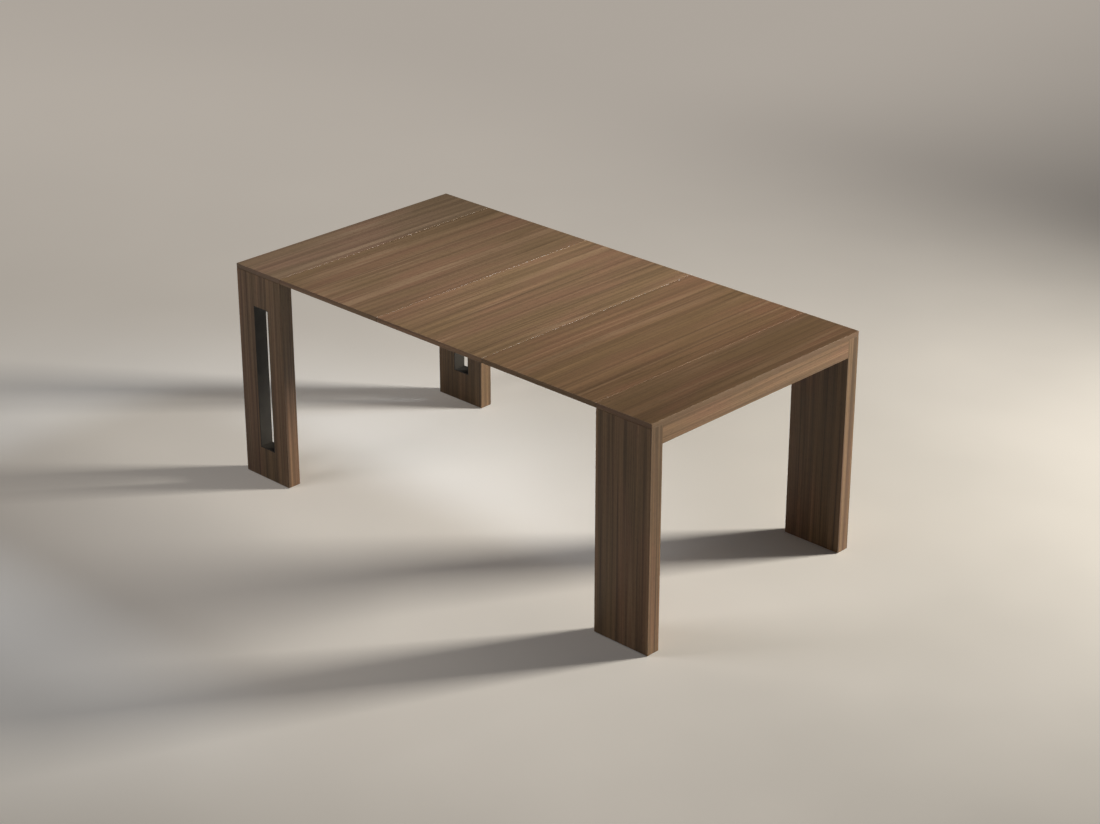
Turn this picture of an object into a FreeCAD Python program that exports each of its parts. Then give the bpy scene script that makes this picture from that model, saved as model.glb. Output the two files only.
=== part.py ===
import FreeCAD, Part
import os

from FreeCAD import Placement, Rotation, Vector

# Extending table: two end frames, loose leaves between them and two telescopic runner packs.
# Millimetres. +X runs along the table to the fixed end frame, -Y is the near long side, +Z is up.
# The origin is on the floor under the middle of the table, pulled out with its leaves in place.

# Table
table_height = 750.0
table_width = 950.0
frame_depth = 214.0
leaf_depth = 463.0
leaf_count = 3
seam_gap = 1.0
board_thickness = 16.0
board_arris = 0.3
overrun = 5.0

# Legs, end rails and glides
leg_thickness = 48.0
rail_height = 60.0
rail_thickness = 22.0
shadow_line_height = 1.0
shadow_line_depth = 1.5
glide_height = 2.0
glide_radius = 12.0
glide_edge = 0.5
glide_stem_radius = 4.0
glide_stem_length = 18.0
glide_inset = 32.0

# Slots in the moving frame's legs, where leaves are stored upright
slot_setback = 77.0
slot_width = 72.0
slot_bottom = 111.0
slot_top_drop = 113.0
liner_wall = 3.0

# Steel angles and screws
angle_thickness = 3.0
angle_bend_radius = 2.0
leg_angle_flange = 28.0
rail_angle_flange = 30.0
rail_angle_height = 44.0
runner_angle_flange = 26.0
angle_setback = 20.0
hardware_gap = 13.0
end_screw_shares = (0.15, 0.85)
middle_share = 0.5
screw_shank_radius = 2.0
screw_head_radius = 4.0
screw_head_height = 2.4
screw_head_edge = 0.8
screw_grip = 11.0
screw_tip = 2.0
screw_hole_fit = 0.2
pilot_fit = 0.05

# Telescopic runner packs
bar_count = 8
bar_height = 40.0
bar_thickness = 13.0
bar_corner_radius = 1.0
bar_top_gap = 0.3
slide_gap = 0.3
groove_mouth = 10.0
groove_lip = 3.0
groove_height = 18.0
groove_depth = 4.0
chamber_wall = 2.5
slider_inset = 4.0
slider_lead = 2.0
spigot_radius = 3.0
spigot_floor = 1.0
stop_length = 10.0
stop_slack = 0.5
spare_leaf_count = 1
cap_thickness = 2.0
cap_gap = 0.5
cap_plug_length = 8.0
cap_plug_fit = 0.2

# Swing catches under the seams
catch_setback = 50.0
catch_pin_inset = 28.0
catch_pin_radius = 3.0
catch_head_radius = 6.0
catch_head_height = 2.5
catch_shank_radius = 2.0
catch_shank_length = 11.0
hook_thickness = 2.5
hook_gap = 0.4
hook_width = 18.0
hook_nose = 8.0
hook_fit = 0.1
notch_clearance = 1.2
lug_width = 10.0
lug_drop = 8.0

# Places worked out from the sizes above
table_length = 2 * frame_depth + leaf_count * leaf_depth + (leaf_count + 1) * seam_gap
half_length = table_length / 2
half_width = table_width / 2
underside = table_height - board_thickness
frame_inner = half_length - frame_depth
rail_inner = half_length - rail_thickness
leg_inner = half_width - leg_thickness
rail_bottom = underside - rail_height
pull_out = leaf_count * (leaf_depth + seam_gap)
bar_offset = pull_out / (bar_count - 1)
bar_end = rail_inner - cap_gap - cap_thickness
bar_length = 2 * bar_end - pull_out
bar_middle = underside - bar_top_gap - bar_height / 2
bar_pitch = bar_thickness + slide_gap
bar_web = bar_thickness - groove_lip - groove_depth
pack_outer = leg_inner - leg_angle_flange - hardware_gap - runner_angle_flange
pack_inner = pack_outer - (bar_count - 1) * bar_pitch - bar_thickness
spare_travel = spare_leaf_count * (leaf_depth + seam_gap) / (bar_count - 1) + stop_slack
slider_length = bar_length - bar_offset - spare_travel - slider_inset - stop_length
catch_y = pack_inner - runner_angle_flange - catch_setback
hook_reach = 2 * catch_pin_inset + seam_gap

ORIGIN = Vector(0, 0, 0)
X = Vector(1, 0, 0)
Y = Vector(0, 1, 0)
Z = Vector(0, 0, 1)


# Helpers


def block(low, high):
    """Plain block between two opposite corners."""
    size = high - low
    return Part.makeBox(size.x, size.y, size.z, low)


def board(low, high):
    """Veneered board between two opposite corners, with its sharp edges eased."""
    blank = block(low, high)
    return blank.makeChamfer(board_arris, blank.Edges)


def outline(points):
    """Closed wire through corner points."""
    return Part.makePolygon(points + points[:1])


def extrusion(points, sweep):
    """Straight extrusion of a closed outline of corner points."""
    return Part.Face(outline(points)).extrude(sweep)


def turned(points):
    """Solid of revolution about Z of a closed outline given as radius and height pairs."""
    corners = [Vector(radius, 0, height) for radius, height in points]
    return Part.Face(outline(corners)).revolve(ORIGIN, Z)


def other_end(shape):
    """Copy of a shape mirrored to the other end of the table."""
    return shape.mirror(ORIGIN, X)


def other_side(shape):
    """Copy of a far-side shape mirrored to the near side."""
    return shape.mirror(ORIGIN, Y)


def pair(shape):
    """A far-side shape with its near-side copy."""
    return [other_side(shape), shape]


def pairs(shapes):
    """Far-side shapes with their near-side copies."""
    return [copy for shape in shapes for copy in pair(shape)]


def along(low, high, share):
    """Point at a share of the way between two limits."""
    return low + (high - low) * share


# Screws and angles, modelled at the far side of the +X end


def screw(shank_length):
    """Pan-head screw that drives down from the origin, head above."""
    head_top = screw_head_height
    return turned([
        (0, -shank_length),
        (screw_shank_radius, screw_tip - shank_length),
        (screw_shank_radius, 0),
        (screw_head_radius, 0),
        (screw_head_radius, head_top - screw_head_edge),
        (screw_head_radius - screw_head_edge, head_top),
        (0, head_top),
    ])


def driven(fastener, seat, drive):
    """Copy of a fastener turned to drive from its seat in the given direction."""
    copy = fastener.copy()
    copy.Placement = Placement(seat, Rotation(-Z, drive))
    return copy


def drill(seat, drive, radius, depth):
    """Hole tool that starts at a screw's seat and runs along its drive."""
    return Part.makeCylinder(radius, depth, seat, drive)


def angle(corner, first, second, sweep):
    """Bent steel angle: flange vectors from its outer corner, swept along its length."""
    along_first = Vector(first).normalize()
    along_second = Vector(second).normalize()
    inside = corner + (along_first + along_second) * angle_thickness
    bend_centre = inside + (along_first + along_second) * angle_bend_radius
    bend_start = bend_centre - along_second * angle_bend_radius
    bend_end = bend_centre - along_first * angle_bend_radius
    bend_middle = bend_centre - (along_first + along_second).normalize() * angle_bend_radius
    lower = Part.makePolygon([
        bend_end,
        corner + second + along_first * angle_thickness,
        corner + second,
        corner,
        corner + first,
        corner + first + along_second * angle_thickness,
        bend_start,
    ])
    bend = Part.Arc(bend_start, bend_middle, bend_end).toShape()
    return Part.Face(Part.Wire(lower.Edges + [bend])).extrude(sweep)


def leg_angle_sites():
    """Screw seats of the angle between a leg and its top board, as seat and drive pairs."""
    low = frame_inner + angle_setback
    high = rail_inner - rail_angle_flange - angle_setback
    reach = along(angle_thickness + angle_bend_radius, leg_angle_flange, middle_share)
    sites = []
    for share in end_screw_shares:
        x = along(low, high, share)
        sites.append((Vector(x, leg_inner - reach, underside - angle_thickness), Z))
        sites.append((Vector(x, leg_inner - angle_thickness, underside - reach), Y))
    return sites


def leg_angle():
    """Angle that ties a leg to the underside of its top board."""
    low = frame_inner + angle_setback
    high = rail_inner - rail_angle_flange - angle_setback
    corner = Vector(low, leg_inner, underside)
    blank = angle(corner, -Y * leg_angle_flange, -Z * leg_angle_flange, X * (high - low))
    return pierced(blank, leg_angle_sites())


def rail_angle_sites():
    """Screw seats of the angle between an end rail and a leg."""
    reach = along(angle_thickness + angle_bend_radius, rail_angle_flange, middle_share)
    z = underside - rail_height / 2
    return [
        (Vector(rail_inner - angle_thickness, leg_inner - reach, z), X),
        (Vector(rail_inner - reach, leg_inner - angle_thickness, z), Y),
    ]


def rail_angle():
    """Upright angle in the corner between the end rail and a leg."""
    corner = Vector(rail_inner, leg_inner, underside - rail_height / 2 - rail_angle_height / 2)
    blank = angle(corner, -X * rail_angle_flange, -Y * rail_angle_flange, Z * rail_angle_height)
    return pierced(blank, rail_angle_sites())


def runner_angle_sites(face, outward):
    """Seats of the screws that hold a bar's angle: first those into the board, then into the bar."""
    low = frame_inner + angle_setback
    high = rail_inner - angle_setback
    reach = along(angle_thickness + angle_bend_radius, runner_angle_flange, middle_share)
    board_sites = []
    bar_sites = []
    for share in end_screw_shares:
        x = along(low, high, share)
        board_seat = Vector(x, face, underside - angle_thickness) + outward * reach
        board_sites.append((board_seat, Z))
        bar_seat = Vector(x, face, bar_middle) + outward * angle_thickness
        bar_sites.append((bar_seat, -outward))
    return board_sites, bar_sites


def runner_angle(face, outward):
    """Angle that hangs the flat face of an end bar from the top board."""
    low = frame_inner + angle_setback
    high = rail_inner - angle_setback
    corner = Vector(low, face, underside)
    blank = angle(corner, outward * runner_angle_flange, -Z * runner_angle_flange, X * (high - low))
    board_sites, bar_sites = runner_angle_sites(face, outward)
    return pierced(blank, board_sites + bar_sites)


def pierced(blank, sites):
    """Angle with a clearance hole at each screw seat."""
    radius = screw_shank_radius + screw_hole_fit
    holes = [drill(seat, drive, radius, angle_thickness + overrun) for seat, drive in sites]
    starts = [drill(seat, -drive, radius, overrun) for seat, drive in sites]
    return blank.cut(holes + starts)


def wood_screws(sites):
    """Screws through an angle into wood, at the given seats."""
    fastener = screw(angle_thickness + screw_grip)
    return [driven(fastener, seat, drive) for seat, drive in sites]


def pilot_holes(sites):
    """Hole tools in wood for screws at the given seats, on both sides of the table."""
    radius = screw_shank_radius + pilot_fit
    depth = angle_thickness + screw_grip
    return pairs([drill(seat, drive, radius, depth) for seat, drive in sites])


# End frames, modelled at the +X end


def top_board(holes):
    """Top board of an end frame with its screw holes."""
    low = Vector(frame_inner, -half_width, underside)
    high = Vector(half_length, half_width, table_height)
    return board(low, high).cut(holes)


def glide_places():
    """Middles of the glides under a far leg."""
    y = half_width - leg_thickness / 2
    return [Vector(x, y, 0) for x in (frame_inner + glide_inset, half_length - glide_inset)]


def glide():
    """Round glide with a stem that plugs into the leg."""
    stem_top = glide_height + glide_stem_length
    return turned([
        (0, 0),
        (glide_radius - glide_edge, 0),
        (glide_radius, glide_edge),
        (glide_radius, glide_height),
        (glide_stem_radius, glide_height),
        (glide_stem_radius, stem_top),
        (0, stem_top),
    ])


def glides():
    """Glides under a far leg."""
    return [driven(glide(), place, -Z) for place in glide_places()]


def shadow_line():
    """Rebate along a far leg's outer top edge, a thin dark line under the board."""
    low = Vector(frame_inner - overrun, half_width - shadow_line_depth, underside - shadow_line_height)
    high = Vector(half_length + overrun, half_width + overrun, underside + overrun)
    return block(low, high)


def solid_leg(holes):
    """Far slab leg with its screw holes, glide sockets and shadow line."""
    low = Vector(frame_inner, leg_inner, glide_height)
    high = Vector(half_length, half_width, underside)
    sockets = [drill(place, Z, glide_stem_radius, glide_height + glide_stem_length)
               for place in glide_places()]
    return board(low, high).cut(holes + sockets + [shadow_line()])


def slot_outline(y, inset):
    """Storage slot's outline in the plane at y, drawn in by an inset."""
    outer = half_length - slot_setback - inset
    inner = half_length - slot_setback - slot_width + inset
    low = slot_bottom + inset
    high = underside - slot_top_drop - inset
    return outline([
        Vector(inner, y, low),
        Vector(outer, y, low),
        Vector(outer, y, high),
        Vector(inner, y, high),
    ])


def slotted_leg(holes):
    """Far slab leg with the storage slot cut through it."""
    slot_face = Part.Face(slot_outline(leg_inner - overrun, 0))
    slot = slot_face.extrude(Y * (leg_thickness + 2 * overrun))
    return solid_leg(holes).cut(slot)


def slot_liner():
    """Folded metal liner that fills the storage slot's edges."""
    wires = [slot_outline(leg_inner, 0), slot_outline(leg_inner, liner_wall)]
    face = Part.makeFace(wires, "Part::FaceMakerBullseye")
    return face.extrude(Y * leg_thickness)


def end_rail(holes):
    """Rail between the legs, flush with their end faces and square where it meets the board."""
    low = Vector(rail_inner, -leg_inner, rail_bottom)
    high = Vector(half_length, leg_inner, underside)
    blank = block(low, high)
    lower_edges = [edge for edge in blank.Edges if edge.BoundBox.ZMax < underside - rail_height / 2]
    return blank.makeChamfer(board_arris, lower_edges).cut(holes)


# Telescopic runner packs, modelled on the far side


def bar_outer_face(index):
    """Far face of a bar, counted from the fixed frame's bar."""
    return pack_outer - index * bar_pitch


def bar_low_end(index):
    """Lowest X of a bar, counted from the fixed frame's bar."""
    return bar_end - bar_length - index * bar_offset


def section_points(x, face, corners):
    """Points of a bar's section from depth behind its far face and height from its middle."""
    return [Vector(x, face - depth, bar_middle + height) for depth, height in corners]


def chamber_corners(sign, inset):
    """Corners of the hollow chamber above or below the groove, drawn in by an inset."""
    far = chamber_wall + inset
    near = bar_thickness - chamber_wall - inset
    low = sign * (groove_height / 2 + chamber_wall + inset)
    high = sign * (bar_height / 2 - chamber_wall - inset)
    return [(far, low), (near, low), (near, high), (far, high)]


def groove_corners():
    """Corners of the undercut groove in a bar's near face, from top to bottom."""
    lip = bar_thickness - groove_lip
    upper = [
        (bar_thickness, groove_mouth / 2),
        (lip, groove_mouth / 2),
        (lip, groove_height / 2),
        (bar_web, groove_height / 2),
    ]
    lower = [(depth, -height) for depth, height in reversed(upper)]
    return upper + lower


def section_corners(side):
    """Corners of a bar's section, with the corners of its near side between those of the far side."""
    half = bar_height / 2
    return [(0, -half), (0, half), (bar_thickness, half)] + side + [(bar_thickness, -half)]


def rounded(blank):
    """Length of bar or cap with its four long outer edges rounded."""
    reach = bar_height / 2 - bar_corner_radius
    long_edges = [edge for edge in blank.Edges
                  if edge.BoundBox.XLength > edge.BoundBox.YLength + edge.BoundBox.ZLength]
    outer_edges = [edge for edge in long_edges if abs(edge.CenterOfMass.z - bar_middle) > reach]
    return blank.makeFillet(bar_corner_radius, outer_edges)


def bar(index):
    """Extruded aluminium bar: an undercut groove on its near face and two hollow chambers."""
    x = bar_low_end(index)
    face = bar_outer_face(index)
    last = index == bar_count - 1
    side = [] if last else groove_corners()
    wires = [outline(section_points(x, face, section_corners(side)))]
    wires += [outline(section_points(x, face, chamber_corners(sign, 0))) for sign in (1, -1)]
    blank = rounded(Part.makeFace(wires, "Part::FaceMakerBullseye").extrude(X * bar_length))
    if index == 0:
        return blank.cut(bar_screw_holes(runner_angle_sites(pack_outer, Y)[1]))
    blank = blank.cut(spigots(index, spigot_radius + pilot_fit))
    if last:
        holes = bar_screw_holes(runner_angle_sites(pack_inner, -Y)[1])
        return blank.cut([other_end(hole) for hole in holes])
    return blank


def bar_screw_holes(sites):
    """Hole tools for the screws that hold an end bar to its angle."""
    radius = screw_shank_radius + pilot_fit
    depth = angle_thickness + bar_web - spigot_floor
    return [drill(seat, drive, radius, depth) for seat, drive in sites]


def bar_screws(sites):
    """Screws that hold an end bar to its angle."""
    fastener = screw(angle_thickness + bar_web - spigot_floor)
    return [driven(fastener, seat, drive) for seat, drive in sites]


def slider_low_end(index):
    """Lowest X of the slider that a bar carries in its neighbour's groove."""
    return bar_low_end(index) + bar_length - slider_inset - slider_length


def spigots(index, radius):
    """Round spigots that plug a slider into its bar."""
    low = slider_low_end(index)
    depth = bar_web - spigot_floor
    places = [Vector(along(low, low + slider_length, share), bar_outer_face(index), bar_middle)
              for share in end_screw_shares]
    return [drill(place, -Y, radius, depth) for place in places]


def tee_points(x, face, neck, head, neck_half, head_half):
    """Points of a T section that stands out of a face at y, neck first."""
    upper = [(0, neck_half), (neck, neck_half), (neck, head_half), (head, head_half)]
    lower = [(reach, -height) for reach, height in reversed(upper)]
    return [Vector(x, face + reach, bar_middle + height) for reach, height in upper + lower]


def slider(index):
    """Nylon slider: a T that runs in the next bar's groove, plugged into its own bar."""
    neck = slide_gap + groove_lip + slide_gap
    head = slide_gap + groove_lip + groove_depth - slide_gap
    face = bar_outer_face(index)
    points = tee_points(slider_low_end(index), face, neck, head,
                        groove_mouth / 2 - slide_gap, groove_height / 2 - slide_gap)
    blank = extrusion(points, X * slider_length)
    upright = [edge for edge in blank.Edges
               if edge.BoundBox.ZLength > edge.BoundBox.XLength + edge.BoundBox.YLength]
    leading = [edge for edge in upright if edge.CenterOfMass.y > face + neck + slide_gap]
    blank = blank.makeChamfer(slider_lead, leading)
    return blank.fuse(spigots(index, spigot_radius)).removeSplitter()


def groove_stop(index):
    """Tongue that fills the end of a bar's groove and keeps the next bar's slider in."""
    face = bar_outer_face(index) - bar_thickness
    points = tee_points(bar_low_end(index), face, groove_lip, groove_lip + groove_depth,
                        groove_mouth / 2, groove_height / 2)
    return extrusion(points, X * stop_length)


def end_cap(index, x, outward):
    """Nylon cap over one end of a bar, held by plugs in its two chambers."""
    face = bar_outer_face(index)
    plate = rounded(extrusion(section_points(x, face, section_corners([])), X * outward * cap_thickness))
    plugs = [extrusion(section_points(x, face, chamber_corners(sign, cap_plug_fit)),
                       -X * outward * cap_plug_length) for sign in (1, -1)]
    return plate.fuse(plugs)


def end_caps(index):
    """Caps of a bar: the low end's cap also stops the groove, where the bar has one."""
    low = bar_low_end(index)
    low_cap = end_cap(index, low, -1)
    if index < bar_count - 1:
        low_cap = low_cap.fuse(groove_stop(index))
    return [low_cap.removeSplitter(), end_cap(index, low + bar_length, 1).removeSplitter()]


# Leaves and swing catches


def leaf_edge(index):
    """Lowest X of a leaf, counted from the moving frame."""
    return seam_gap - frame_inner + index * (leaf_depth + seam_gap)


def catch_pin():
    """Shoulder screw that drives down: shank, plain shoulder that a hook turns on, flat head."""
    shoulder = hook_thickness + 2 * hook_gap
    return turned([
        (0, -catch_shank_length),
        (catch_shank_radius, -catch_shank_length),
        (catch_shank_radius, 0),
        (catch_pin_radius, 0),
        (catch_pin_radius, shoulder),
        (catch_head_radius, shoulder),
        (catch_head_radius, shoulder + catch_head_height),
        (0, shoulder + catch_head_height),
    ])


def catch_pins(places):
    """Shoulder screws driven up into a board at far-side X places, on both sides."""
    seats = [Vector(x, catch_y, underside) for x in places]
    return pairs([driven(catch_pin(), seat, Z) for seat in seats])


def catch_holes(places):
    """Hole tools for the shoulder screws of a board."""
    radius = catch_shank_radius + pilot_fit
    seats = [Vector(x, catch_y, underside) for x in places]
    return pairs([drill(seat, Z, radius, catch_shank_length) for seat in seats])


def leaf_pin_places(index):
    """X of a leaf's shoulder screws: the hook's pivot at one edge, the keeper at the other."""
    low = leaf_edge(index)
    return [low + catch_pin_inset, low + leaf_depth - catch_pin_inset]


def leaf(index):
    """Loose leaf with the holes of its catch screws."""
    low = Vector(leaf_edge(index), -half_width, underside)
    high = Vector(leaf_edge(index) + leaf_depth, half_width, table_height)
    return board(low, high).cut(catch_holes(leaf_pin_places(index)))


def hook(pivot_x):
    """Far swing hook at rest along its seam: round-ended plate, notch and finger lug."""
    half = hook_width / 2
    far_end = hook_reach + hook_nose
    top = underside - hook_gap
    bottom = top - hook_thickness
    pivot = Vector(pivot_x, catch_y, bottom)
    tip = pivot - Y * far_end
    plate = Part.Wire([
        Part.LineSegment(pivot + X * half, tip + X * half).toShape(),
        Part.Arc(tip + X * half, tip - Y * half, tip - X * half).toShape(),
        Part.LineSegment(tip - X * half, pivot - X * half).toShape(),
        Part.Arc(pivot - X * half, pivot + Y * half, pivot + X * half).toShape(),
    ])
    blank = Part.Face(plate).extrude(Z * hook_thickness)
    notch = pivot - Y * hook_reach - Z * overrun
    notch_radius = catch_pin_radius + notch_clearance
    height = hook_thickness + 2 * overrun
    tools = [
        Part.makeCylinder(catch_pin_radius + hook_fit, height, pivot - Z * overrun),
        Part.makeCylinder(notch_radius, height, notch),
        Part.makeBox(hook_width, 2 * notch_radius, height, notch - X * hook_width - Y * notch_radius),
    ]
    lug_end = tip - Y * (half - hook_thickness)
    lug = block(lug_end - X * (lug_width / 2) - Y * hook_thickness - Z * lug_drop,
                lug_end + X * (lug_width / 2) + Z * hook_thickness)
    neck = block(tip - X * (lug_width / 2) - Y * half,
                 lug_end + X * (lug_width / 2) + Z * hook_thickness)
    return blank.cut(tools).fuse([lug, neck]).removeSplitter()


# Nodes


def frame_nodes(name, place, runner_sites, far_leg_maker):
    """Nodes that both end frames have, moved to their end of the table by place."""
    board_sites, bar_sites = runner_sites
    wood_sites = leg_angle_sites() + rail_angle_sites() + board_sites
    screws = pairs(wood_screws(wood_sites) + bar_screws(bar_sites))
    holes = pilot_holes(wood_sites)
    catch_x = frame_inner + catch_pin_inset
    far_leg = far_leg_maker(holes)
    return {
        name + "_top_board": [place(top_board(holes + catch_holes([catch_x])))],
        name + "_near_leg": [place(other_side(far_leg))],
        name + "_far_leg": [place(far_leg)],
        name + "_end_rail": [place(end_rail(holes))],
        name + "_leg_angles": [place(shape) for shape in pair(leg_angle())],
        name + "_rail_angles": [place(shape) for shape in pair(rail_angle())],
        name + "_screws": [place(shape) for shape in screws],
        name + "_glides": [place(shape) for shape in pairs(glides())],
        name + "_catch_pins": [place(shape) for shape in catch_pins([catch_x])],
    }


def fixed_frame():
    """End frame that stays put, with the first bars of both runner packs."""
    nodes = frame_nodes("fixed", Part.Shape.copy, runner_angle_sites(pack_outer, Y), solid_leg)
    nodes["fixed_runner_bars"] = pair(bar(0))
    nodes["fixed_runner_angles"] = pair(runner_angle(pack_outer, Y))
    nodes["fixed_end_caps"] = pairs(end_caps(0))
    return nodes


def moving_frame():
    """End frame that pulls out, with slotted legs and the last bars of both runner packs."""
    last = bar_count - 1
    nodes = frame_nodes("moving", other_end, runner_angle_sites(pack_inner, -Y), slotted_leg)
    nodes["near_slot_liner"] = [other_end(other_side(slot_liner()))]
    nodes["far_slot_liner"] = [other_end(slot_liner())]
    nodes["moving_runner_bars"] = pair(bar(last))
    nodes["moving_runner_angles"] = pair(other_end(runner_angle(pack_inner, -Y)))
    nodes["moving_sliders"] = pair(slider(last))
    nodes["moving_end_caps"] = pairs(end_caps(last))
    return nodes


def stages():
    """Bars between the two end frames, with what each one carries."""
    nodes = {}
    for index in range(1, bar_count - 1):
        name = "stage_" + str(index)
        nodes[name + "_bars"] = pair(bar(index))
        nodes[name + "_sliders"] = pair(slider(index))
        nodes[name + "_end_caps"] = pairs(end_caps(index))
    return nodes


def leaves():
    """Loose leaves with their catch screws."""
    nodes = {}
    for index in range(leaf_count):
        name = "leaf_" + str(index + 1)
        nodes[name + "_board"] = [leaf(index)]
        nodes[name + "_catch_pins"] = catch_pins(leaf_pin_places(index))
    return nodes


def hooks():
    """Swing hooks, one on each side at the moving-frame edge of each leaf and of the fixed frame."""
    pivots = {"leaf_" + str(index + 1): leaf_pin_places(index)[0] for index in range(leaf_count)}
    pivots["fixed"] = frame_inner + catch_pin_inset
    nodes = {}
    for name, x in pivots.items():
        far_hook = hook(x)
        nodes[name + "_near_hook"] = [other_side(far_hook)]
        nodes[name + "_far_hook"] = [far_hook]
    return nodes


def main():
    """Build every node and write it to its own file."""
    os.makedirs("parts", exist_ok=True)
    nodes = {**fixed_frame(), **moving_frame(), **stages(), **leaves(), **hooks()}
    for name, solids in nodes.items():
        shape = solids[0] if len(solids) == 1 else Part.makeCompound(solids)
        shape.exportStep("parts/" + name + ".step")
    print("nodes", len(nodes), "table length", table_length)
    print("spare travel of each sliding pair", spare_travel)


main()
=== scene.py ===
"""Extending walnut table: finishes, screws, floor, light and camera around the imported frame."""

import logging
import math
from dataclasses import dataclass, field
from enum import Enum

import bmesh
import bpy
from bpy.types import Material, Mesh, Node, NodeSocket, NodeTree, Object
from mathutils import Matrix, Vector

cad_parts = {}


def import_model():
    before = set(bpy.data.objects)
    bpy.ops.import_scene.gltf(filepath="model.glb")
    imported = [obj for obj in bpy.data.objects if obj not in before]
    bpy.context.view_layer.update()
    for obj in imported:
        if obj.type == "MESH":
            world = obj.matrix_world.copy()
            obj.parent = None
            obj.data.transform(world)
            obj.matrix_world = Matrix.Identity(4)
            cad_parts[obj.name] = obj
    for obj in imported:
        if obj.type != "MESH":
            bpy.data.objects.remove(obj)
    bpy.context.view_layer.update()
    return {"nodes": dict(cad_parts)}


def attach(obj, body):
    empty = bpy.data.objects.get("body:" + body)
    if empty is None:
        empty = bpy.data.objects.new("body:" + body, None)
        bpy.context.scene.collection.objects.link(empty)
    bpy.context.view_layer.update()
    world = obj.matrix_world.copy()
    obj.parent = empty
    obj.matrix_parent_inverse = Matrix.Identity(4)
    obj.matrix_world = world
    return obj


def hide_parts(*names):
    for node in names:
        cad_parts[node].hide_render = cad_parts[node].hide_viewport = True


LOG = logging.getLogger("table")
MM = 0.001

# Points of a CAD node that lie nearer than this are one point
SAME_POINT = 0.001 * MM

# Digits of a metre that tell two places and two reaches apart
PLACE_DIGITS = 6
REACH_DIGITS = 5

# Values between which most of a noise texture lies, and its middle
NOISE_LOW = 0.3
NOISE_MIDDLE = 0.5
NOISE_HIGH = 0.7

# Stops of a colour ramp, each a value and its colour
Tones = tuple[tuple[float, str], ...]

# Sockets of the Mix node that have no name of their own
MIX_VECTOR_A = 4
MIX_VECTOR_B = 5
MIX_VECTOR_RESULT = 1
MIX_COLOUR_A = 6
MIX_COLOUR_B = 7
MIX_COLOUR_RESULT = 2


class Axis(Enum):
    """A direction of the table's frame."""

    LENGTH = 0
    WIDTH = 1
    HEIGHT = 2

    @property
    def unit(self) -> Vector:
        """Unit vector along the axis."""
        return Vector([1.0 if index == self.value else 0.0 for index in range(3)])


def colour(code: str) -> tuple[float, float, float, float]:
    """Turn an sRGB hex code into a linear colour.

    Args:
        code: six hex digits after a hash.

    Returns:
        Linear red, green and blue, and a full alpha.
    """
    shares = [int(code[start:start + 2], 16) / 255 for start in (1, 3, 5)]
    linear = [s / 12.92 if s <= 0.04045 else ((s + 0.055) / 1.055) ** 2.4 for s in shares]
    return (*linear, 1.0)


def add(tree: NodeTree, kind: str, settings: dict | None = None, sockets: dict | None = None) -> Node:
    """Add a node, set it up and fill its sockets.

    Args:
        tree: the node tree.
        kind: the node's type.
        settings: the node's own properties, and a colour ramp's stops.
        sockets: a value, or an output or list of outputs to link, for each input by name or number.

    Returns:
        The new node.
    """
    node = tree.nodes.new(kind)
    for name, value in (settings or {}).items():
        if name == "stops":
            ramp = node.color_ramp.elements
            while len(ramp) < len(value):
                ramp.new(1.0)
            for element, (place, code) in zip(ramp, value):
                element.position = place
                element.color = colour(code)
        else:
            setattr(node, name, value)
    for key, value in (sockets or {}).items():
        for one in value if isinstance(value, list) else [value]:
            if isinstance(one, NodeSocket):
                tree.links.new(one, node.inputs[key])
            else:
                node.inputs[key].default_value = one
    return node


def new_material(name: str) -> tuple[Material, NodeTree, Node]:
    """Make an empty material with its shader.

    Args:
        name: the material's name.

    Returns:
        The material, its node tree and its Principled shader.
    """
    material = bpy.data.materials.new(name)
    material.use_nodes = True
    tree = material.node_tree
    return material, tree, tree.nodes["Principled BSDF"]


def dress(node: Object, material: Material) -> None:
    """Give a CAD node its finish.

    Args:
        node: the CAD node.
        material: its finish.
    """
    node.data.materials.clear()
    node.data.materials.append(material)
    LOG.info("%s: %s", node.name, material.name)


# Finishes


@dataclass(frozen=True)
class Marks:
    """Irregular marks in a finish: their width, the finer marks in them and how far they are drawn out."""

    width: float
    detail: float
    stretch: float = 1.0

    def layer(self, tree: NodeTree) -> NodeSocket:
        """Draw the marks on a piece, drawn out along the table.

        Args:
            tree: the material's tree.

        Returns:
            The socket that carries the layer.
        """
        coords = add(tree, "ShaderNodeTexCoord")
        drawn = add(tree, "ShaderNodeMapping", {}, {
            "Vector": coords.outputs["Object"], "Scale": (1 / self.stretch, 1.0, 1.0),
        })
        noise = add(tree, "ShaderNodeTexNoise", {}, {
            "Vector": drawn.outputs["Vector"], "Scale": 1 / self.width, "Detail": self.detail,
        })
        return noise.outputs["Fac"]


@dataclass(frozen=True)
class Sheet:
    """One sheet of veneer: its place in the pattern and its shares of brightness, colour and streaks."""

    seed: float
    tone: float = 1.0
    warmth: float = 1.0
    figure: float = 1.0


@dataclass(frozen=True)
class GrainLines:
    """Thin lines that run with the grain, where their marks pass the middle.

    A line fades out at its reach from the middle. Along its run it grows from nothing, where the
    veneer's drift has the value gone, to its full share, where the drift has the value full.
    """

    marks: Marks
    reach: float
    gone: float
    full: float
    share: float
    tone: str


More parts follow.
